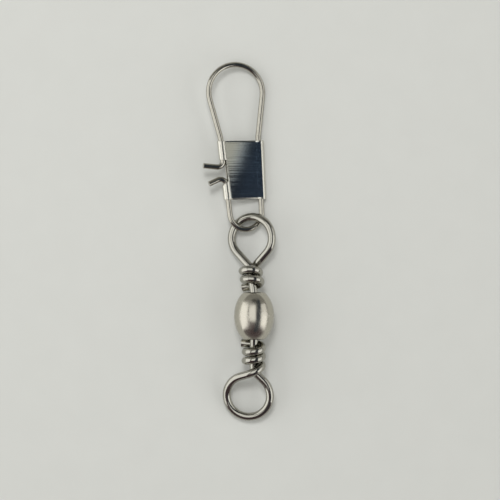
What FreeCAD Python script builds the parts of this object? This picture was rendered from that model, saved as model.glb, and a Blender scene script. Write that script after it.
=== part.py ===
"""Fishing snap swivel, in millimetres, lying on the floor plane z = 0 with its barrel along Y.

Five real pieces: a hollow barrel, two eyes that are each bent and wrapped from one wire, a
one-piece snap wire, and a clasp folded from sheet around it. Each eye has a head that turns
inside the barrel. The snap hangs in the upper eye like one link of a chain in the next.
"""
import FreeCAD, Part
import math
import os

Vector = FreeCAD.Vector
Rotation = FreeCAD.Rotation
Placement = FreeCAD.Placement
ALONG_X = Vector(1, 0, 0)
ALONG_Y = Vector(0, 1, 0)
UP = Vector(0, 0, 1)

# Barrel: a hollow shell with a hole in each end
BARREL_DIAMETER = 4.97
BARREL_LENGTH = 5.85
BARREL_CUT = 0.85           # the flat ends leave this much of the full ellipse's length
BARREL_WALL = 0.36
BARREL_RIM = 0.30           # rounding where an end turns into the belly
SHANK_PLAY = 0.10           # radial room of a shank in its hole

# Wire of the two eyes
EYE_WIRE = 1.00
WRAP_GAP = 0.02             # between a wrap and the shank inside it
TURN_GAP = 0.035            # between one wrap and the next, along the shank
HEAD_DIAMETER = 1.72
HEAD_CONE = 0.35            # length of the cone on which a head turns
HEAD_BUTTON = 0.28          # length of the round button below the cone
HEAD_CHAMFER = 0.24         # bevel around the button's end
HEAD_PLAY = 0.22            # end play between a head and the barrel's end wall

# The two eyes, each in its own frame: origin in its hole, +Y out along the shank
SNAP_EYE = {
    "ring_radius": 2.60,
    "ring_aside": 0.74,     # the ring's centre lies this far beside the shank's axis
    "ring_stand": 1.385,    # and past the apex by this many ring radii
    "bend_radius": 1.00,
    "apex": 3.42,           # where the shank bends into the ring's left leg
    "half_drop": 0.42,      # how far the first half turn runs along the shank
    "turn_drop": 1.10,      # and the first whole turn
    "turns": 2.0,
    "tail_drop": 0.16,      # what the last half turn runs more than the wraps before it
    "tail": 1.68,           # cut end that sticks out past the shank's axis
    "tail_lift": 4.0,
    "side": -1,             # the right leg crosses behind the shank
}
LINE_EYE = {
    "ring_radius": 2.72,
    "ring_aside": 0.58,
    "ring_stand": 1.162,
    "bend_radius": 1.00,
    "apex": 4.20,
    "half_drop": 0.94,
    "turn_drop": 1.66,
    "turns": 2.5,
    "tail_drop": 0.10,
    "tail": 1.72,
    "tail_lift": 1.0,
    "side": 1,              # the right leg crosses in front of the shank
}
SHORTEST_RUN = 0.02         # a straight run shorter than this is left out between two arcs
RAMP_SWEEP = 60.0           # degrees of a ring over which its wire starts to leave the ring's plane
WRAP_STEP = 30.0

# Snap wire in its own frame: origin at the small loop's centre, +Y towards the big loop
SNAP_WIRE = 0.68
SMALL_LOOP_RADIUS = 2.05
BIG_LOOP_RADIUS = 3.46
BIG_LOOP_AT = (-0.87, 15.05)
MOUTH_RADIUS = 3.00         # the slight bends where the legs enter the clasp
LEFT_MOUTH_X = -5.96
LEFT_MOUTH_RISE = -0.06     # of that bend's centre above the clasp's top edge
RIGHT_MOUTH_X = 4.87
RIGHT_MOUTH_RISE = 0.30
UPPER_HOOK_RADIUS = 0.75
UPPER_HOOK_AT = (-3.48, 0.663)      # its bend's centre: across, and as a share of the clasp's height
UPPER_HOOK_END = (-1.79, -0.56)     # its cut end, from that centre
LOWER_HOOK_RADIUS = 0.81
LOWER_HOOK_AT = (-3.18, 0.238)
LOWER_HOOK_END = (-1.42, 0.27)

# Clasp: one sheet folded flat around both legs of the snap wire
CLASP_SHEET = 0.12
CLASP_GAP = 0.02            # between the sheet and the wire at a fold
CLASP_TOP = 9.00
CLASP_BOTTOM = 1.70
RIGHT_LEG_ROOM = 0.18       # extra room beside the right leg
CREST = 0.01                # shortest flat stretch on top of a fold
CLASP_CROWN = 0.05          # the face's middle stands this much higher than its sides
CLASP_DIP = 0.20            # the face's sides lie this much lower than the folds at its top,
CLASP_LOW_DIP = 0.25        # this much near its bottom,
CLASP_PINCH = 0.36          # and this much at its pinched bottom edge
CLASP_PINCH_LENGTH = 0.40
CLASP_LEVEL_FROM = 0.56     # the face keeps its top dip down to this share of the clasp's height
CLASP_SEAM = 0.10           # slit at the back where the sheet's two edges meet
NOTCH_TOP = 0.677           # shares of the clasp's height
NOTCH_BOTTOM = 0.316
NOTCH_DEPTH = 0.77
NOTCH_FALL = 0.60           # its lower edge falls this much from its inner corner to the fold
NOTCH_CORNER = 0.15

# How the pieces lie
LINK_GAP = 0.03             # between the snap wire and the eye that it hangs in
SNAP_EYE_LEAN = 8.5         # degrees that the shank leans to the left in its hole
LINE_EYE_LEAN = -1.1
LINE_EYE_ROLL = 8.0         # degrees that the ring is turned about its shank
SNAP_LEAN = 1.6
LINK_HEADING = 103.0        # direction from the ring's centre to the small loop's centre
LINK_OVERLAP = 1.52         # how far the small loop reaches into the ring, seen from above
STEEPEST = 45.0             # no piece droops or rolls further than this, in degrees

COIL_RADIUS = EYE_WIRE + WRAP_GAP
HOLE_RADIUS = EYE_WIRE / 2 + SHANK_PLAY
HOLE_AT = (BARREL_LENGTH - BARREL_WALL) / 2
FOLD_RADIUS = SNAP_WIRE / 2 + CLASP_GAP + CLASP_SHEET


def heading(degrees):
    """Unit vector on the XY plane."""
    a = math.radians(degrees)
    return Vector(math.cos(a), math.sin(a), 0)


def travel_between(a, b):
    """Heading, in degrees, of the straight run that leaves bend a and enters bend b.

    A bend is (centre, radius, sense), with sense +1 for a left turn and -1 for a right turn.
    """
    gap = b[0] - a[0]
    offset = b[1] * b[2] - a[1] * a[2]
    return math.degrees(math.atan2(gap.y, gap.x) - math.asin(offset / gap.Length))


def bend_nodes(bend, come, leave, largest_step=60.0):
    """Corners of the polygon around a bend, each with the length of its tangents."""
    centre, radius, sense = bend
    sweep = (leave - come) * sense % 360
    steps = max(1, math.ceil(sweep / largest_step))
    half = math.radians(sweep / steps / 2)
    nodes = []
    for i in range(steps):
        facing = come + sense * ((i + 0.5) * sweep / steps - 90)
        corner = centre + heading(facing) * (radius / math.cos(half))
        nodes.append((corner, radius * math.tan(half)))
    return nodes


def bent_nodes(start, bends, end):
    """Corners of a flat wire that runs from start, round each bend in turn, to end."""
    stops = [(start, 0.0, 1)] + bends + [(end, 0.0, 1)]
    runs = [travel_between(a, b) for a, b in zip(stops, stops[1:])]
    nodes = [(start, None)]
    for bend, come, leave in zip(bends, runs, runs[1:]):
        nodes += bend_nodes(bend, come, leave)
    return nodes + [(end, None)]


def arc_middle(corner, back, on, reach):
    """Middle of the arc that touches both runs of a corner, reach away from it."""
    half_opening = back.getAngle(on) / 2
    radius = reach * math.tan(half_opening)
    return corner + (back + on).normalize() * (radius / math.sin(half_opening) - radius)


def rounded_edges(nodes):
    """Straight runs joined by tangent arcs. Without a tangent length, a corner takes what is free."""
    points = [point for point, reach in nodes]
    spans = [(b - a).Length for a, b in zip(points, points[1:])]
    edges, last, used = [], points[0], 0.0
    for i in range(1, len(points) - 1):
        free = spans[i - 1] - used
        reach = nodes[i][1]
        if reach is None:
            half = spans[i] / 2
            reach = free if free < half + SHORTEST_RUN else half
        back = (points[i - 1] - points[i]).normalize()
        on = (points[i + 1] - points[i]).normalize()
        first = points[i] + back * reach
        final = points[i] + on * reach
        if (first - last).Length > 1e-5:
            edges.append(Part.LineSegment(last, first).toShape())
        edges.append(Part.Arc(first, arc_middle(points[i], back, on, reach), final).toShape())
        last, used = final, reach
    edges.append(Part.LineSegment(last, points[-1]).toShape())
    return edges


def wire_body(nodes, diameter):
    """Round wire along the rounded path through the nodes, cut square at both ends."""
    edges = rounded_edges(nodes)
    along = (nodes[1][0] - nodes[0][0]).normalize()
    section = Part.Wire([Part.makeCircle(diameter / 2, nodes[0][0], along)])
    body = Part.Wire(edges).makePipeShell([section], True, False)
    expected = sum(e.Length for e in edges) * math.pi * diameter ** 2 / 4
    print(f"wire volume is {body.Volume / expected:.4f} of section times length")
    return body


def barrel():
    """Hollow shell: an ellipse turned about Y and cut short by flat ends with a hole in each."""
    half = BARREL_LENGTH / 2
    full = half / BARREL_CUT

    def turned(radius, belly, end):
        edge_radius = radius * math.sqrt(1 - (end / belly) ** 2)
        curve = Part.Ellipse(Vector(0, belly, 0), Vector(radius, 0, 0), Vector(0, 0, 0))
        from_angle = curve.parameter(Vector(edge_radius, end, 0))
        to_angle = curve.parameter(Vector(edge_radius, -end, 0))
        side = Part.ArcOfEllipse(curve, min(from_angle, to_angle), max(from_angle, to_angle)).toShape()
        ends = [v.Point for v in side.Vertexes]
        outline = [side]
        outline.append(Part.LineSegment(ends[-1], Vector(0, ends[-1].y, 0)).toShape())
        outline.append(Part.LineSegment(Vector(0, ends[-1].y, 0), Vector(0, ends[0].y, 0)).toShape())
        outline.append(Part.LineSegment(Vector(0, ends[0].y, 0), ends[0]).toShape())
        return Part.Face(Part.Wire(outline)).revolve(Vector(0, 0, 0), ALONG_Y, 360)

    body = turned(BARREL_DIAMETER / 2, full, half)
    rims = [e for e in body.Edges if abs(abs(e.CenterOfMass.y) - half) < 1e-6 and e.Closed]
    body = body.makeFillet(BARREL_RIM, rims)
    cavity = turned(BARREL_DIAMETER / 2 - BARREL_WALL, full - BARREL_WALL, half - BARREL_WALL)
    holes = Part.makeCylinder(HOLE_RADIUS, 2 * BARREL_LENGTH, Vector(0, -BARREL_LENGTH, 0), ALONG_Y)
    return body.cut(cavity).cut(holes)


def head():
    """Upset head on the inner end of a shank: a cone below the end wall, then a bevelled button."""
    seat = -(BARREL_WALL / 2 + HEAD_PLAY)
    wide = seat - HEAD_CONE
    bevel = wide - HEAD_BUTTON
    end = bevel - HEAD_CHAMFER
    radius = HEAD_DIAMETER / 2
    corners = [(0, seat), (EYE_WIRE / 2, seat), (radius, wide), (radius, bevel),
               (radius - HEAD_CHAMFER, end), (0, end)]
    outline = Part.makePolygon([Vector(x, y, 0) for x, y in corners + corners[:1]])
    return Part.Face(outline).revolve(Vector(0, 0, 0), ALONG_Y, 360)


def ring_bend(eye):
    radius = eye["ring_radius"]
    return (Vector(eye["ring_aside"], eye["apex"] + eye["ring_stand"] * radius, 0), radius, -1)


def out_heading(eye):
    """Heading of the left leg, which goes out to the ring."""
    return travel_between((Vector(0, eye["apex"], 0), 0.0, 1), ring_bend(eye))


def wrap_drop(eye, turned):
    """How far towards the barrel the wire has come after some turns about the shank."""
    half, whole = eye["half_drop"], eye["turn_drop"]
    if turned < 0.5:
        drop = half * (1 - (1 - 2 * turned) ** 2)
    elif turned < 1:
        drop = half + (whole - half) * (2 * turned - 1)
    else:
        drop = whole + (EYE_WIRE + TURN_GAP) * (turned - 1)
    leaving = max(0.0, 1 - (eye["turns"] - turned) / 0.5)
    return drop + eye["tail_drop"] * leaving ** 2 * (3 - 2 * leaving)


def crossing(eye):
    """Where the right leg crosses the shank: as far out as the first wrap clears the left leg."""
    lean = math.radians(out_heading(eye) - 90)
    apart = COIL_RADIUS
    limits = []
    for degrees in range(15, 95, 5):
        beside = COIL_RADIUS * math.sin(math.radians(degrees))
        above = COIL_RADIUS * math.cos(math.radians(degrees))
        needed = math.sqrt(apart ** 2 - above ** 2)
        below_apex = (needed - beside * math.cos(lean)) / math.sin(lean)
        limits.append(eye["apex"] - below_apex + wrap_drop(eye, degrees / 360))
    return min(limits)


def eye_nodes(eye):
    """Corners of one eye's wire: shank, left leg, ring, right leg, wraps about the shank, tail."""
    coil = COIL_RADIUS
    crosses_at = crossing(eye)
    out = out_heading(eye)
    back = travel_between(ring_bend(eye), (Vector(0, crosses_at, 0), 0.0, 1))
    start = Vector(0, -(BARREL_WALL / 2 + HEAD_PLAY), 0)
    nodes = [(start, None)]
    nodes.append((Vector(0, eye["apex"], 0), eye["bend_radius"] * math.tan(math.radians(out - 90) / 2)))

    # The ring is flat up to its last part, from where the wire climbs steadily to the wraps
    ring = bend_nodes(ring_bend(eye), out, back, WRAP_STEP)
    half_step = math.radians(WRAP_STEP / 2)
    shank_pass = Vector(coil * math.tan(half_step), 0, -coil)
    shank_pass.y = crosses_at + shank_pass.x * math.tan(math.radians(back))
    ramp = [corner for corner, reach in ring[-round(RAMP_SWEEP / WRAP_STEP):]] + [shank_pass]
    flat_part = ring[:-round(RAMP_SWEEP / WRAP_STEP)]
    nodes += flat_part[:-1] + [(flat_part[-1][0], None)]
    trail = [flat_part[-1][0]] + ramp
    runs = [math.hypot(b.x - a.x, b.y - a.y) for a, b in zip(trail, trail[1:])]
    gone = 0.0
    for corner, run in zip(ramp, runs):
        gone += run
        nodes.append((Vector(corner.x, corner.y, -coil * gone / sum(runs)), None))

    # Wraps, as the corners of a polygon around the shank
    steps = round(eye["turns"] * 360 / WRAP_STEP)
    for i in range(steps):
        angle = math.radians(270 - (i + 0.5) * WRAP_STEP)
        turned = (i + 0.5) / steps * eye["turns"]
        across = coil / math.cos(half_step)
        along = crosses_at - wrap_drop(eye, turned)
        nodes.append((Vector(across * math.cos(angle), along, across * math.sin(angle)), None))

    # Straight tail, square to the shank apart from its lift
    last = math.radians(270 - eye["turns"] * 360)
    away = Vector(math.sin(last), 0, -math.cos(last))
    foot = Vector(coil * math.cos(last), crosses_at - wrap_drop(eye, eye["turns"]), coil * math.sin(last))
    lift = Vector(0, eye["tail"] * math.tan(math.radians(eye["tail_lift"])), 0)
    nodes.append((foot + away * eye["tail"] + lift, None))
    if eye["side"] > 0:
        nodes = [(Vector(p.x, p.y, -p.z), reach) for p, reach in nodes]
    return nodes


def eye_body(eye):
    """One eye with its head, in its own frame."""
    return wire_body(eye_nodes(eye), EYE_WIRE).fuse(head()).removeSplitter()


def up_clasp(share):
    """Height in the snap's frame, from a share of the clasp's height."""
    return CLASP_BOTTOM + share * (CLASP_TOP - CLASP_BOTTOM)


def hook_centre(at):
    across, share = at
    return Vector(across, up_clasp(share), 0)


def snap_bends():
    """Bends of the snap wire in order, from its upper cut end to its lower one."""
    return [
        (hook_centre(UPPER_HOOK_AT), UPPER_HOOK_RADIUS, 1),
        (Vector(LEFT_MOUTH_X, CLASP_TOP + LEFT_MOUTH_RISE, 0), MOUTH_RADIUS, 1),
        (Vector(*BIG_LOOP_AT, 0), BIG_LOOP_RADIUS, -1),
        (Vector(RIGHT_MOUTH_X, CLASP_TOP + RIGHT_MOUTH_RISE, 0), MOUTH_RADIUS, 1),
        (Vector(0, 0, 0), SMALL_LOOP_RADIUS, -1),
        (hook_centre(LOWER_HOOK_AT), LOWER_HOOK_RADIUS, 1),
    ]


def snap_nodes():
    start = hook_centre(UPPER_HOOK_AT) + Vector(*UPPER_HOOK_END, 0)
    end = hook_centre(LOWER_HOOK_AT) + Vector(*LOWER_HOOK_END, 0)
    return bent_nodes(start, snap_bends(), end)


def leg_x(first, second, y):
    """Where the straight run between two bends of the snap wire is at height y."""
    bend = snap_bends()[first]
    come = travel_between(bend, snap_bends()[second])
    touch = bend[0] + heading(come - 90 * bend[2]) * bend[1]
    return touch.x + (y - touch.y) / math.tan(math.radians(come))


def upper_left_leg(y):
    return leg_x(0, 1, y)


def right_leg(y):
    return leg_x(3, 4, y)


def lower_left_leg(y):
    return leg_x(4, 5, y)


def clasp_sides(y):
    """Outer edges of the clasp at height y, in line with the upper left leg and the right leg."""
    return upper_left_leg(y) - FOLD_RADIUS, right_leg(y) + FOLD_RADIUS + RIGHT_LEG_ROOM


def arc(centre, radius, first, last):
    """Arc on the XZ plane about a centre, between two headings in degrees from +X towards +Z."""
    def at(degrees):
        a = math.radians(degrees)
        return centre + Vector(radius * math.cos(a), 0, radius * math.sin(a))

    return Part.Arc(at(first), at((first + last) / 2), at(last))


def clasp_section(y, dip, inset):
    """Closed outline across the clasp at height y, inset from its outer surface by inset."""
    left, right = clasp_sides(y)
    radius = FOLD_RADIUS - inset
    low = radius - dip
    spread = math.sqrt(radius ** 2 - low ** 2)
    crease = math.degrees(math.asin(low / radius))
    inner_left_leg = max(upper_left_leg(y), lower_left_leg(y))
    folds = [Vector(left + FOLD_RADIUS, y, 0), Vector(right - FOLD_RADIUS, y, 0)]
    crests = [Vector(inner_left_leg + CREST, y, 0), Vector(right_leg(y) - CREST, y, 0)]
    face = [crests[0] + Vector(spread, 0, low), crests[1] + Vector(-spread, 0, low)]
    outline = [
        arc(folds[0], radius, 270, 90),
        Part.LineSegment(folds[0] + UP * radius, crests[0] + UP * radius),
        arc(crests[0], radius, 90, crease),
        Part.Arc(face[0], (face[0] + face[1]) * 0.5 + UP * CLASP_CROWN, face[1]),
        arc(crests[1], radius, 180 - crease, 90),
        Part.LineSegment(crests[1] + UP * radius, folds[1] + UP * radius),
        arc(folds[1], radius, 90, -90),
        Part.LineSegment(folds[1] - UP * radius, folds[0] - UP * radius),
    ]
    return Part.Wire([piece.toShape() for piece in outline])


def clasp_skin(inset, overrun):
    """Solid inside the clasp's outline, lofted from its pinched bottom edge to its top."""
    stations = [
        (CLASP_BOTTOM, CLASP_PINCH),
        (CLASP_BOTTOM + CLASP_PINCH_LENGTH, CLASP_LOW_DIP),
        (up_clasp(CLASP_LEVEL_FROM), CLASP_DIP),
        (CLASP_TOP, CLASP_DIP),
    ]
    sections = [clasp_section(y, dip, inset) for y, dip in stations]
    body = Part.makeLoft(sections[:2], True, True)
    for lower, upper in zip(sections[1:], sections[2:]):
        body = body.fuse(Part.makeLoft([lower, upper], True, True))
    for section, step in ((sections[0], -overrun), (sections[-1], overrun)):
        if overrun:
            body = body.fuse(Part.Face(section).extrude(ALONG_Y * step))
    return body


def notch():
    """Cutter that opens the left fold, front and back, where the two hooks come out."""
    def edge(y):
        return clasp_sides(y)[0] + NOTCH_DEPTH

    top, bottom = up_clasp(NOTCH_TOP), up_clasp(NOTCH_BOTTOM)
    outside = clasp_sides(top)[0] - 1
    fallen = bottom - (edge(bottom) - outside) * NOTCH_FALL / NOTCH_DEPTH
    corners = [(outside, top), (edge(top), top), (edge(bottom), bottom), (outside, fallen)]
    deep = 2 * FOLD_RADIUS
    outline = Part.makePolygon([Vector(x, y, -deep) for x, y in corners + corners[:1]])
    body = Part.Face(outline).extrude(UP * 2 * deep)
    inner = [e for e in body.Edges
             if abs(e.tangentAt(e.FirstParameter).z) > 0.99 and e.CenterOfMass.x > outside + 0.1]
    return body.makeFillet(NOTCH_CORNER, inner)


def clasp():
    """Folded sheet around the snap wire's legs, open at both ends, with its seam at the back."""
    body = clasp_skin(0.0, 0.0).cut(clasp_skin(CLASP_SHEET, 0.2))
    middle = sum(clasp_sides(CLASP_BOTTOM)) / 2
    height = CLASP_TOP - CLASP_BOTTOM
    corner = Vector(middle - CLASP_SEAM / 2, CLASP_BOTTOM - height / 2, -2 * FOLD_RADIUS)
    seam = Part.makeBox(CLASP_SEAM, 2 * height, 2 * FOLD_RADIUS, corner)
    return body.cut(seam).cut(notch()).removeSplitter()


def laid(at, plan_heading, droop, roll):
    """Placement that turns +Y to a heading on the floor, droops it, and rolls it about itself."""
    turn = Rotation(UP, plan_heading - 90)
    turn = turn.multiply(Rotation(ALONG_X, -droop)).multiply(Rotation(ALONG_Y, roll))
    return Placement(at, turn)


def solve(function, low, high):
    """Where an increasing function passes zero, by halving."""
    for _ in range(40):
        middle = (low + high) / 2
        if function(middle) < 0:
            low = middle
        else:
            high = middle
    return (low + high) / 2


def circle_bottom(place, centre, radius):
    """Height of the lowest point of a circle that is flat in a placed frame."""
    normal = place.Rotation.multVec(UP)
    return place.multVec(centre).z - radius * math.hypot(normal.x, normal.y)


def eye_place(eye, end, lean, roll):
    """Placement of an eye in one end of the barrel, drooped until its ring lies on the floor."""
    at = Vector(0, end * HOLE_AT, BARREL_DIAMETER / 2)
    centre, radius, _ = ring_bend(eye)

    def sunk(droop):
        place = laid(at, 90 * end + lean, droop, roll)
        return EYE_WIRE / 2 - circle_bottom(place, centre, radius)

    return laid(at, 90 * end + lean, solve(sunk, 0, STEEPEST), roll)


def half_circle(bend, side):
    """Right or left half of a bend's full circle, as an edge."""
    centre, radius, _ = bend
    ends = [centre + heading(a) * radius for a in (-90, 90)]
    return Part.Arc(ends[0], centre + ALONG_X * radius * side, ends[1]).toShape()


def link_gap(eye_at, snap_at, side):
    """Clear gap where the ring and the small loop cross: loop above at the left, ring at the right."""
    ring = half_circle(ring_bend(SNAP_EYE), side)
    loop = half_circle(snap_bends()[4], side)
    ring.Placement = eye_at
    loop.Placement = snap_at
    distance, nearest, _ = ring.distToShape(loop)
    on_ring, on_loop = nearest[0]
    right_way_up = (on_ring.z - on_loop.z) * side > 0
    return (distance if right_way_up else -distance) - (EYE_WIRE + SNAP_WIRE) / 2


def snap_place(eye_at):
    """Placement of the snap: big loop and one clasp corner on the floor, small loop on the ring."""
    big_loop = snap_bends()[2]
    corner = Vector(clasp_sides(CLASP_BOTTOM)[1] - FOLD_RADIUS, CLASP_BOTTOM, 0)
    ring_centre, ring_radius, _ = ring_bend(SNAP_EYE)
    hooked_at = eye_at.multVec(ring_centre)
    hooked_at += heading(LINK_HEADING) * (ring_radius + SMALL_LOOP_RADIUS - LINK_OVERLAP)
    hooked_at.z = 0

    def at(droop, roll):
        place = laid(hooked_at, 90 + SNAP_LEAN, droop, roll)
        place.Base.z = SNAP_WIRE / 2 - circle_bottom(place, big_loop[0], big_loop[1])
        return place

    def rolled(roll):
        def raised(droop):
            return at(droop, roll).multVec(corner).z - FOLD_RADIUS

        return at(solve(raised, -STEEPEST, STEEPEST), roll)

    return rolled(solve(lambda roll: link_gap(eye_at, rolled(roll), -1) - LINK_GAP, 0, STEEPEST))


def settle_link():
    """Placements of the upper eye and the snap, with the ring's right side on the snap's right leg."""
    def raised(roll):
        eye_at = eye_place(SNAP_EYE, 1, SNAP_EYE_LEAN, -roll)
        return link_gap(eye_at, snap_place(eye_at), 1) - LINK_GAP

    eye_at = eye_place(SNAP_EYE, 1, SNAP_EYE_LEAN, -solve(raised, 0, STEEPEST))
    return eye_at, snap_place(eye_at)


def assembly():
    """Every piece in its place, by name."""
    snap_eye_at, snap_at = settle_link()
    line_eye_at = eye_place(LINE_EYE, -1, LINE_EYE_LEAN, LINE_EYE_ROLL)
    pieces = {
        "barrel": (barrel(), Placement(Vector(0, 0, BARREL_DIAMETER / 2), Rotation())),
        "snap_eye": (eye_body(SNAP_EYE), snap_eye_at),
        "line_eye": (eye_body(LINE_EYE), line_eye_at),
        "snap_wire": (wire_body(snap_nodes(), SNAP_WIRE), snap_at),
        "snap_clasp": (clasp(), snap_at),
    }
    for name, (shape, place) in pieces.items():
        shape.Placement = place
    box = Part.makeCompound([shape for shape, place in pieces.values()]).optimalBoundingBox(False)
    shift = Vector(-box.Center.x, -box.Center.y, 0)
    for name, (shape, place) in pieces.items():
        shape.translate(shift)
    return {name: shape for name, (shape, place) in pieces.items()}


os.makedirs("parts", exist_ok=True)
for node, shape in assembly().items():
    shape.exportStep(f"parts/{node}.step")
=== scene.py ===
"""Fishing snap swivel in bright nickel and brushed strip, lying on a pale sheet of paper."""
import bpy
import math
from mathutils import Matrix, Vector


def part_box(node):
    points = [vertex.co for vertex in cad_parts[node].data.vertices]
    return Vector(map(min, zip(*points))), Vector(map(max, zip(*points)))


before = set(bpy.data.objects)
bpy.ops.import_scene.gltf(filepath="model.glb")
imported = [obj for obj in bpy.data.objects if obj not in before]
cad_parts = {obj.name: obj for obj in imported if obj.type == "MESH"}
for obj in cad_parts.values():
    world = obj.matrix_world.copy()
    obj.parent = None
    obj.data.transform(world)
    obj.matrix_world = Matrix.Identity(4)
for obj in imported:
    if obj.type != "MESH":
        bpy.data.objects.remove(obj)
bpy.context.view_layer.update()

bl_info = {
    "name": "Fishing Snap Swivel",
    "version": (1, 0, 0),
    "blender": (4, 5, 0),
    "location": "View3D > Sidebar > Swivel",
    "description": "Finishes of a fishing snap swivel and the stage that it lies on",
    "category": "Object",
}

MM = 0.001

# How the clasp lies: its roll and its lean, in degrees
CLASP_TURN = (0.0, 15.3, 1.6)

# The edges of the clasp's face: a place on each edge in millimetres, how many degrees it heads
# to the left of straight up, and 1 where the face lies to its right or -1 where to its left
FACE_EDGES = (
    ((-1.74, 11.44), 6.6, 1),
    ((2.70, 11.44), 2.9, -1),
    ((0.5, 12.36), 91.6, -1),
    ((0.5, 5.46), 91.6, 1),
)
EDGE_SOFTNESS = 0.05 * MM

# How far up a surface of the clasp has to face to count as its upper face, from not at all to fully
FACE_TILT = (0.5, 0.6)

# The bow of the face: its middle line, given like an edge, how far the bow reaches to each side
# of it, and the lean that it grows to
BOW_LINE = ((0.30, 10.2), -18.0)
BOW_REACH = 1.95 * MM
BOW_LEAN = 0.23

# The slope down to the clasp's pinched lower edge, where it starts and where it is full
PINCH_SLOPE = -0.30
PINCH_FROM = 11.5 * MM
PINCH_TO = 6.0 * MM

# Brushed strip: how the lines' pattern is scaled along the clasp's width, height and thickness,
# the part of it that counts, and the least and most roughness, as parts of the strip's own
LINE_STRETCH = (0.012, 1.0, 0.3)
LINE_SPAN = (0.3, 0.7)
LINE_GLOSS = (0.8, 1.25)

# Nickel plate: the part of its clouds that counts, the least and most roughness, as parts of the
# plate's own, and how strongly the grain tilts its surface
CLOUD_SPAN = (0.35, 0.65)
CLOUD_GLOSS = (0.75, 1.3)
GRAIN_STRENGTH = 0.5

# Paper: its roughness, and how strongly and how deeply its tooth tilts its surface
PAPER_ROUGHNESS = 0.9
TOOTH_STRENGTH = 0.2
TOOTH_DEPTH = 0.01 * MM

# Soft lamps: place, turn in degrees, width and height in metres, how brightly the lamp's own
# surface glows, and whether the metal mirrors it
LAMPS = {
    "window_left": ((-0.25, -0.04, 0.125), (0.0, -63.4, 0.0), (0.26, 0.48), 1.25, True),
    "window_right": ((0.244, -0.155, 0.138), (0.0, 60.5, 0.0), (0.21, 0.35), 1.28, True),
    "window_beyond": ((0.244, 0.095, 0.138), (0.0, 60.5, 0.0), (0.21, 0.15), 0.78, True),
    "ceiling": ((-0.050, 0.040, 0.25), (0.0, 0.0, 0.0), (0.19, 0.254), 0.98, True),
    "key": ((-0.025, 0.14, 0.295), (-25.4, 0.0, 0.0), (0.085, 0.085), 14.4, False),
}

# Cards that only the metal mirrors: place, turn in degrees, width and height in metres, colour
CARDS = {
    "card_beside": ((0.070, -0.03, 0.14), (0.0, 0.0, -12.0), (0.085, 0.60), "#394048"),
    "card_beyond": ((0.006, 0.155, 0.14), (0.0, 0.0, 0.0), (0.11, 0.10), "#3C3C3A"),
    "card_before": ((-0.01, -0.20, 0.27), (90.0, 0.0, 0.0), (0.50, 0.535), "#55484A"),
}

# The room around the lamps and the cards
ROOM = "#969590"

# The camera: how wide it sees at the floor, its aim from the barrel's middle, and its film
VIEW_WIDTH = 62.5 * MM
VIEW_ASIDE = (-0.51 * MM, 8.16 * MM)
SENSOR = 36.0


def linear(code):
    """Linear colour, with alpha, of an sRGB hex value."""
    parts = [int(code[i:i + 2], 16) / 255 for i in (1, 3, 5)]
    return [p / 12.92 if p <= 0.04045 else ((p + 0.055) / 1.055) ** 2.4 for p in parts] + [1.0]


def per_metre(size_mm):
    """Scale of a pattern whose features are this many millimetres apart."""
    return 1.0 / (size_mm * MM)


def radians(turn):
    return [math.radians(angle) for angle in turn]


def add_node(tree, kind, settings=None, links=None):
    """Adds a shader node with its settings, and links other nodes' outputs to its inputs.
    An input is given by its name, or by its number where several share a name."""
    node = tree.nodes.new(kind)
    for name, value in (settings or {}).items():
        if isinstance(name, int) or name in node.inputs:
            node.inputs[name].default_value = value
        else:
            setattr(node, name, value)
    for name, source in (links or {}).items():
        tree.links.new(source, node.inputs[name])
    return node


def new_material(name):
    """An empty node material and its tree."""
    material = bpy.data.materials.new(name)
    material.use_nodes = True
    material.node_tree.nodes.clear()
    return material, material.node_tree


def show(tree, surface):
    add_node(tree, "ShaderNodeOutputMaterial", links={"Surface": surface})


def plated(name, shade, tint, roughness, patch_mm, grain_mm, grain_depth_mm):
    """Bright nickel plate: it mirrors the room in clear bands, with faint clouds where the plate
    is thinner, and a fine grain that keeps the bands' edges soft."""
    material, tree = new_material(name)
    place = add_node(tree, "ShaderNodeTexCoord").outputs["Object"]
    clouds = add_node(tree, "ShaderNodeTexNoise", {"Scale": per_metre(patch_mm), "Detail": 3.0},
                      {"Vector": place}).outputs["Fac"]
    grain = add_node(tree, "ShaderNodeTexNoise", {"Scale": per_metre(grain_mm), "Detail": 2.0},
                     {"Vector": place}).outputs["Fac"]
    colour = add_node(tree, "ShaderNodeMix", {"data_type": "RGBA"}, {"Factor": clouds})
    colour.inputs["A"].default_value = shade
    colour.inputs["B"].default_value = tint
    gloss = add_node(tree, "ShaderNodeMapRange", {
        "From Min": CLOUD_SPAN[0], "From Max": CLOUD_SPAN[1],
        "To Min": roughness * CLOUD_GLOSS[0], "To Max": roughness * CLOUD_GLOSS[1],
    }, {"Value": clouds})
    bump = add_node(tree, "ShaderNodeBump", {
        "Strength": GRAIN_STRENGTH, "Distance": grain_depth_mm * MM,
    }, {"Height": grain})
    metal = add_node(tree, "ShaderNodeBsdfPrincipled", {"Metallic": 1.0}, {
        "Base Color": colour.outputs["Result"], "Roughness": gloss.outputs["Result"],
        "Normal": bump.outputs["Normal"],
    })
    show(tree, metal.outputs["BSDF"])
    return material


def measured_from(tree, place, at, heading):
    """Distance to the right of a line across the clasp."""
    turned = add_node(tree, "ShaderNodeMapping", {
        "vector_type": "TEXTURE", "Location": (at[0] * MM, at[1] * MM, 0.0),
        "Rotation": (0.0, 0.0, math.radians(heading)),
    }, {"Vector": place})
    across = add_node(tree, "ShaderNodeSeparateXYZ", links={"Vector": turned.outputs["Vector"]})
    return across.outputs["X"]


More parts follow.
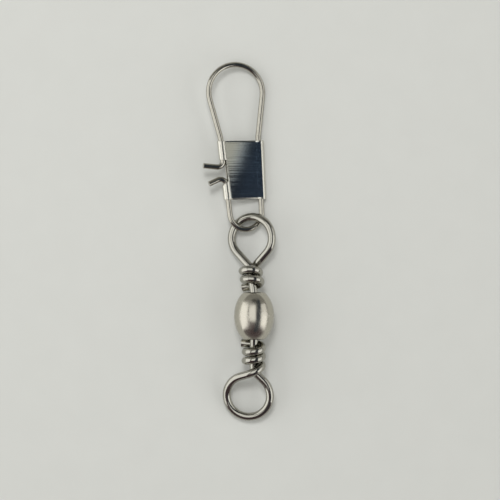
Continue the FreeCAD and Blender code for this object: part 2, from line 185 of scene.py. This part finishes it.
def beside(tree, place, at, heading, side):
    """1 on one side of a line across the clasp and 0 on the other, with a soft step between."""
    return add_node(tree, "ShaderNodeMapRange", {
        "From Min": -EDGE_SOFTNESS * side, "From Max": EDGE_SOFTNESS * side,
    }, {"Value": measured_from(tree, place, at, heading)}).outputs["Result"]


def face_of(tree, coordinates):
    """1 on the clasp's upper face, and 0 on its folds, its edges and its back."""
    place = coordinates.outputs["Object"]
    facing = add_node(tree, "ShaderNodeSeparateXYZ", links={"Vector": coordinates.outputs["Normal"]})
    face = add_node(tree, "ShaderNodeMapRange", {"From Min": FACE_TILT[0], "From Max": FACE_TILT[1]},
                    {"Value": facing.outputs["Z"]}).outputs["Result"]
    for at, heading, side in FACE_EDGES:
        within = beside(tree, place, at, heading, side)
        face = add_node(tree, "ShaderNodeMath", {"operation": "MULTIPLY"},
                        {0: face, 1: within}).outputs["Value"]
    return face


def past_bow(tree, place):
    """0 above and left of the bow's middle line, 1 below and right of it, changing slowly between."""
    return add_node(tree, "ShaderNodeMapRange", {
        "interpolation_type": "SMOOTHSTEP", "From Min": -BOW_REACH, "From Max": BOW_REACH,
    }, {"Value": measured_from(tree, place, *BOW_LINE)}).outputs["Result"]


def bow_of(tree, place, past):
    """Normal of the face: level before the bow's middle line, leaning right past it, and sloping
    down towards the pinched lower edge."""
    lean = add_node(tree, "ShaderNodeMath", {"operation": "MULTIPLY", 1: BOW_LEAN}, {0: past})
    up_clasp = add_node(tree, "ShaderNodeSeparateXYZ", links={"Vector": place})
    slope = add_node(tree, "ShaderNodeMapRange", {
        "interpolation_type": "SMOOTHSTEP", "From Min": PINCH_TO, "From Max": PINCH_FROM,
        "To Min": PINCH_SLOPE, "To Max": 0.0,
    }, {"Value": up_clasp.outputs["Y"]})
    facing = add_node(tree, "ShaderNodeCombineXYZ", {"Z": 1.0},
                      {"X": lean.outputs["Value"], "Y": slope.outputs["Result"]})
    return add_node(tree, "ShaderNodeVectorTransform", {
        "vector_type": "NORMAL", "convert_from": "OBJECT", "convert_to": "WORLD",
    }, {"Vector": facing.outputs["Vector"]}).outputs["Vector"]


def brushed(name, face_shaded_colour, painted_reflection_colour, fold_sheen_colour, roughness, line_mm, line_depth_mm, edge_mm):
    """Spring strip brushed straight across: the lines smear what its bowed face mirrors, so its upper
    left shines and the rest is dark.
    Its colours are painted light on one nickel: the face a darker copy as painted shade, its lower
    right a painted dark blue reflection, and the folds, cut edges and back a lighter copy as painted
    sheen; the cut edges are rounded.
    The lines are drawn several times as coarse as real ones, which wouldn't show in a picture."""
    material, tree = new_material(name)
    coordinates = add_node(tree, "ShaderNodeTexCoord")
    place = coordinates.outputs["Object"]
    turned = add_node(tree, "ShaderNodeMapping", {
        "vector_type": "TEXTURE", "Rotation": radians(CLASP_TURN),
    }, {"Vector": place})
    along = add_node(tree, "ShaderNodeMapping", {"Scale": LINE_STRETCH},
                     {"Vector": turned.outputs["Vector"]})
    lines = add_node(tree, "ShaderNodeTexNoise", {"Scale": per_metre(line_mm), "Detail": 2.0},
                     {"Vector": along.outputs["Vector"]}).outputs["Fac"]
    face = face_of(tree, coordinates)
    past = past_bow(tree, place)
    # Painted reflection: past the bow's middle line the face's colour turns darker and bluer
    painted_reflection = add_node(tree, "ShaderNodeMix", {"data_type": "RGBA"}, {"Factor": past})
    painted_reflection.inputs["A"].default_value = face_shaded_colour
    painted_reflection.inputs["B"].default_value = painted_reflection_colour
    colour = add_node(tree, "ShaderNodeMix", {"data_type": "RGBA"},
                      {"Factor": face, "B": painted_reflection.outputs["Result"]})
    # Painted sheen: the folds, edges and back take a lighter copy of the nickel
    colour.inputs["A"].default_value = fold_sheen_colour
    gloss = add_node(tree, "ShaderNodeMapRange", {
        "From Min": LINE_SPAN[0], "From Max": LINE_SPAN[1],
        "To Min": roughness * LINE_GLOSS[0], "To Max": roughness * LINE_GLOSS[1],
    }, {"Value": lines})
    grooved = add_node(tree, "ShaderNodeBump", {"Strength": 1.0, "Distance": line_depth_mm * MM},
                       {"Height": lines, "Normal": bow_of(tree, place, past)})
    rounded = add_node(tree, "ShaderNodeBevel", {"Radius": edge_mm * MM})
    form = add_node(tree, "ShaderNodeMix", {"data_type": "VECTOR"}, {
        0: face, 4: rounded.outputs["Normal"], 5: grooved.outputs["Normal"],
    })
    metal = add_node(tree, "ShaderNodeBsdfPrincipled", {"Metallic": 1.0}, {
        "Base Color": colour.outputs["Result"], "Roughness": gloss.outputs["Result"],
        "Normal": form.outputs[1],
    })
    show(tree, metal.outputs["BSDF"])
    return material


def pale_paper(name, code, fleck_code, fleck_mm, fibre_mm):
    """Coated paper: matt and pale, with barely visible flecks and a fine tooth."""
    material, tree = new_material(name)
    place = add_node(tree, "ShaderNodeTexCoord").outputs["Object"]
    flecks = add_node(tree, "ShaderNodeTexNoise", {"Scale": per_metre(fleck_mm), "Detail": 4.0},
                      {"Vector": place}).outputs["Fac"]
    fibres = add_node(tree, "ShaderNodeTexNoise", {"Scale": per_metre(fibre_mm), "Detail": 3.0},
                      {"Vector": place}).outputs["Fac"]
    colour = add_node(tree, "ShaderNodeMix", {"data_type": "RGBA"}, {"Factor": flecks})
    colour.inputs["A"].default_value = linear(fleck_code)
    colour.inputs["B"].default_value = linear(code)
    bump = add_node(tree, "ShaderNodeBump", {"Strength": TOOTH_STRENGTH, "Distance": TOOTH_DEPTH},
                    {"Height": fibres})
    paper = add_node(tree, "ShaderNodeBsdfPrincipled", {"Roughness": PAPER_ROUGHNESS},
                     {"Base Color": colour.outputs["Result"], "Normal": bump.outputs["Normal"]})
    show(tree, paper.outputs["BSDF"])
    return material


def glowing_card(name, code):
    """An even card, as bright as its colour."""
    material, tree = new_material(name)
    show(tree, add_node(tree, "ShaderNodeEmission", {"Color": linear(code)}).outputs["Emission"])
    return material


def dress(node, material):
    """Gives a CAD node's object one material."""
    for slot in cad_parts[node].material_slots:
        slot.material = material


def lay_floor(size):
    bpy.ops.object.select_all(action="DESELECT")
    bpy.ops.mesh.primitive_plane_add(size=size)
    floor = bpy.context.object
    floor.name = "floor"
    paper = pale_paper("pale_paper", "#CDCECA", "#C9CAC6", fleck_mm=4.0, fibre_mm=0.3)
    floor.data.materials.append(paper)


def hang_lamp(name, at, turn, size, glow, mirrored, brightness):
    """A flat lamp that the camera doesn't see. Its power is pi times its area times its glow."""
    light = bpy.data.lights.new(name, "AREA")
    light.shape = "RECTANGLE"
    light.size, light.size_y = size
    light.energy = glow * brightness * math.pi * size[0] * size[1]
    lamp = bpy.data.objects.new(name, light)
    bpy.context.scene.collection.objects.link(lamp)
    lamp.location = at
    lamp.rotation_euler = radians(turn)
    lamp.visible_camera = False
    lamp.visible_glossy = mirrored


def hang_card(name, at, turn, size, code):
    """A card that the metal mirrors, and that neither lights nor shades the paper."""
    bpy.ops.mesh.primitive_plane_add(size=1.0, location=at, rotation=radians(turn))
    card = bpy.context.object
    card.name = name
    card.scale = (*size, 1.0)
    card.data.materials.append(glowing_card(name, code))
    card.visible_camera = False
    card.visible_diffuse = False
    card.visible_shadow = False


def light_room(brightness):
    world = bpy.data.worlds.new("room")
    bpy.context.scene.world = world
    world.use_nodes = True
    background = world.node_tree.nodes["Background"]
    background.inputs["Color"].default_value = linear(ROOM)
    background.inputs["Strength"].default_value = brightness


def place_camera(height):
    """Looks straight down, past the middle of the barrel."""
    low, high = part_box("barrel")
    middle = [(low[axis] + high[axis]) / 2 for axis in (0, 1)]
    data = bpy.data.cameras.new("camera")
    data.sensor_width = SENSOR
    data.lens = SENSOR * height / VIEW_WIDTH
    camera = bpy.data.objects.new("camera", data)
    bpy.context.scene.collection.objects.link(camera)
    camera.location = (middle[0] + VIEW_ASIDE[0], middle[1] + VIEW_ASIDE[1], height)
    bpy.context.scene.camera = camera


def colour_property(name, description, code):
    return bpy.props.FloatVectorProperty(name=name, description=description, subtype="COLOR", size=4,
                                         min=0.0, max=1.0, default=linear(code))


def gloss_property(name, description, value):
    return bpy.props.FloatProperty(name=name, description=description, subtype="FACTOR",
                                   min=0.0, max=1.0, default=value)


class SwivelFinish(bpy.types.PropertyGroup):
    barrel_shade: colour_property("Barrel shade", "Darker shade of the barrel's nickel", "#B3AFA3")
    barrel_tint: colour_property("Barrel tint", "Lighter tint of the barrel's nickel", "#C6C2B6")
    barrel_roughness: gloss_property("Barrel roughness", "Roughness of the barrel's nickel", 0.24)
    eye_shade: colour_property("Eye shade", "Darker shade of the eyes' nickel", "#9F9D94")
    eye_tint: colour_property("Eye tint", "Lighter tint of the eyes' nickel", "#B4B2A9")
    spring_shade: colour_property("Spring shade", "Darker shade of the snap wire's nickel", "#A6A399")
    spring_tint: colour_property("Spring tint", "Lighter tint of the snap wire's nickel", "#BFBCB1")
    wire_roughness: gloss_property("Wire roughness", "Roughness of the wires' nickel", 0.12)
    # Painted light on the clasp: the face colour is a darker copy of the nickel as painted shade, the
    # blued colour a painted dark blue reflection, the folds a lighter copy as painted sheen
    face_shaded_colour: colour_property("Clasp face", "Upper left of the brushed face", "#8B8B81")
    painted_reflection_colour: colour_property("Clasp painted reflection", "Lower right of the face, painted dark blue reflection", "#708395")
    fold_sheen_colour: colour_property("Clasp folds", "Folds of the clasp's strip, painted sheen", "#D0CEC4")
    clasp_roughness: gloss_property("Clasp roughness", "Roughness of the clasp's strip", 0.20)


class SwivelStage(bpy.types.PropertyGroup):
    floor_size: bpy.props.FloatProperty(
        name="Floor", description="Width of the floor", default=2.4, unit="LENGTH")
    camera_height: bpy.props.FloatProperty(
        name="Camera height", description="Height of the camera above the floor", default=0.30,
        unit="LENGTH")
    brightness: bpy.props.FloatProperty(
        name="Brightness", description="Level of the lamps and the room together", default=1.0,
        subtype="FACTOR")


class SWIVEL_OT_barrel(bpy.types.Operator):
    """Finish the barrel: turned brass, bright nickel plated"""
    bl_idname = "swivel.barrel"
    bl_label = "Finish barrel"

    def execute(self, context):
        finish = context.scene.swivel_finish
        nickel = plated("nickel_plated_brass", finish.barrel_shade[:], finish.barrel_tint[:],
                        finish.barrel_roughness, patch_mm=1.6, grain_mm=0.12, grain_depth_mm=0.004)
        dress("barrel", nickel)
        return {"FINISHED"}


class SWIVEL_OT_eyes(bpy.types.Operator):
    """Finish both wrapped eyes: drawn wire, bright nickel plated"""
    bl_idname = "swivel.eyes"
    bl_label = "Finish eyes"

    def execute(self, context):
        finish = context.scene.swivel_finish
        wire = plated("nickel_plated_wire", finish.eye_shade[:], finish.eye_tint[:],
                      finish.wire_roughness, patch_mm=1.1, grain_mm=0.10, grain_depth_mm=0.002)
        dress("snap_eye", wire)
        dress("line_eye", wire)
        return {"FINISHED"}


class SWIVEL_OT_snap_wire(bpy.types.Operator):
    """Finish the snap wire: drawn spring steel, bright nickel plated"""
    bl_idname = "swivel.snap_wire"
    bl_label = "Finish snap wire"

    def execute(self, context):
        finish = context.scene.swivel_finish
        wire = plated("nickel_plated_spring_wire", finish.spring_shade[:], finish.spring_tint[:],
                      finish.wire_roughness, patch_mm=0.9, grain_mm=0.08, grain_depth_mm=0.002)
        dress("snap_wire", wire)
        return {"FINISHED"}


class SWIVEL_OT_clasp(bpy.types.Operator):
    """Finish the folded clasp: brushed and plated spring strip"""
    bl_idname = "swivel.clasp"
    bl_label = "Finish clasp"

    def execute(self, context):
        finish = context.scene.swivel_finish
        strip = brushed("brushed_plated_strip", finish.face_shaded_colour[:], finish.painted_reflection_colour[:],
                        finish.fold_sheen_colour[:], finish.clasp_roughness,
                        line_mm=0.17, line_depth_mm=0.055, edge_mm=0.12)
        dress("snap_clasp", strip)
        return {"FINISHED"}


class SWIVEL_OT_stage(bpy.types.Operator):
    """Lay the floor, hang the lamps and the cards, light the room and place the camera"""
    bl_idname = "swivel.stage"
    bl_label = "Set the stage"

    def execute(self, context):
        stage = context.scene.swivel_stage
        lay_floor(stage.floor_size)
        for name, (at, turn, size, glow, mirrored) in LAMPS.items():
            hang_lamp(name, at, turn, size, glow, mirrored, stage.brightness)
        for name, (at, turn, size, code) in CARDS.items():
            hang_card(name, at, turn, size, code)
        light_room(stage.brightness)
        place_camera(stage.camera_height)
        context.scene.view_settings.view_transform = "Standard"
        return {"FINISHED"}


class SWIVEL_PT_panel(bpy.types.Panel):
    bl_label = "Snap swivel"
    bl_idname = "SWIVEL_PT_panel"
    bl_space_type = "VIEW_3D"
    bl_region_type = "UI"
    bl_category = "Swivel"

    def draw(self, context):
        for group in (context.scene.swivel_finish, context.scene.swivel_stage):
            for name in group.__annotations__:
                self.layout.prop(group, name)
        for operator in OPERATORS:
            self.layout.operator(operator.bl_idname)


OPERATORS = (SWIVEL_OT_barrel, SWIVEL_OT_eyes, SWIVEL_OT_snap_wire, SWIVEL_OT_clasp, SWIVEL_OT_stage)
CLASSES = (SwivelFinish, SwivelStage) + OPERATORS + (SWIVEL_PT_panel,)


def register():
    for cls in CLASSES:
        bpy.utils.register_class(cls)
    bpy.types.Scene.swivel_finish = bpy.props.PointerProperty(type=SwivelFinish)
    bpy.types.Scene.swivel_stage = bpy.props.PointerProperty(type=SwivelStage)


def unregister():
    del bpy.types.Scene.swivel_stage
    del bpy.types.Scene.swivel_finish
    for cls in reversed(CLASSES):
        bpy.utils.unregister_class(cls)


def main():
    register()
    bpy.ops.swivel.barrel()
    bpy.ops.swivel.eyes()
    bpy.ops.swivel.snap_wire()
    bpy.ops.swivel.clasp()
    bpy.ops.swivel.stage()


if __name__ == "__main__":
    main()
